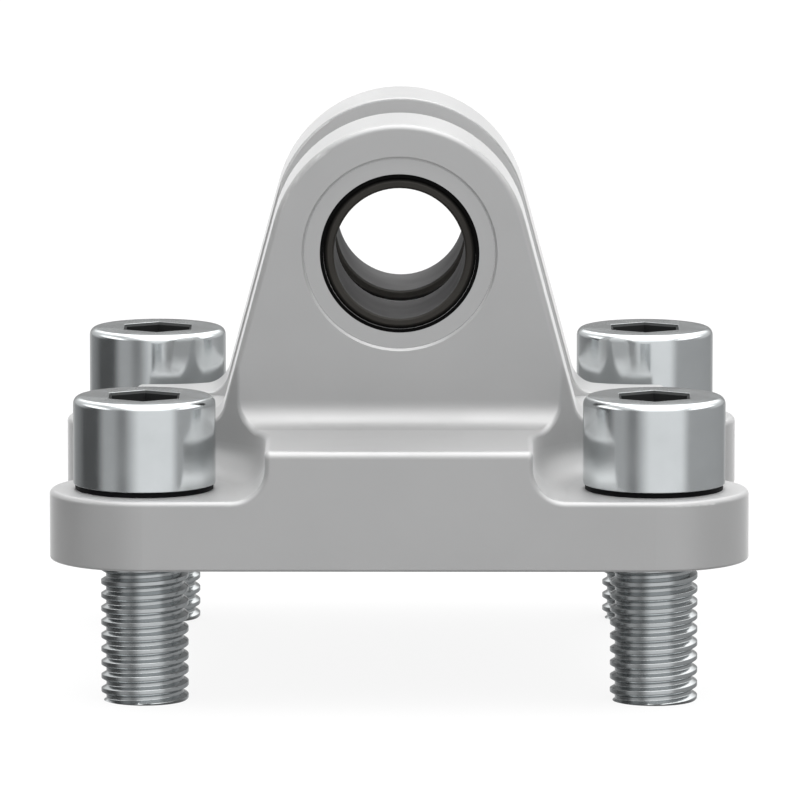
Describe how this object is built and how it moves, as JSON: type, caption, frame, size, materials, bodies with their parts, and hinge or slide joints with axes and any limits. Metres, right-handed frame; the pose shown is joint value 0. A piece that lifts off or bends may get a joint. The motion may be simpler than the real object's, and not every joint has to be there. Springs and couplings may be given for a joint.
{
  "type": "swivel flange",
  "caption": "Swivel flange for a pneumatic cylinder: a cast base with a bushed fork for a pivot pin, held down by socket head cap screws.",
  "frame": {"origin": "middle of the mounting face, on the axis of the centring recess", "axes": "+Z from the mounting face towards the ears, +Y along the pivot axis, +X across the ears"},
  "size_m": [0.0638, 0.0638, 0.052],
  "materials": {
    "cast_aluminium": "fine blasted casting",
    "bush_liner": "smooth dark bearing compound",
    "zinc_plated_steel": "bright plated",
    "black_washer": "matte black"
  },
  "bodies": {
    "root": {"flange_body": "cast_aluminium", "front_bush": "bush_liner", "rear_bush": "bush_liner", "front_left_screw": "zinc_plated_steel", "front_right_screw": "zinc_plated_steel", "rear_left_screw": "zinc_plated_steel", "rear_right_screw": "zinc_plated_steel", "front_left_washer": "black_washer", "front_right_washer": "black_washer", "rear_left_washer": "black_washer", "rear_right_washer": "black_washer"}
  },
  "joints": []
}
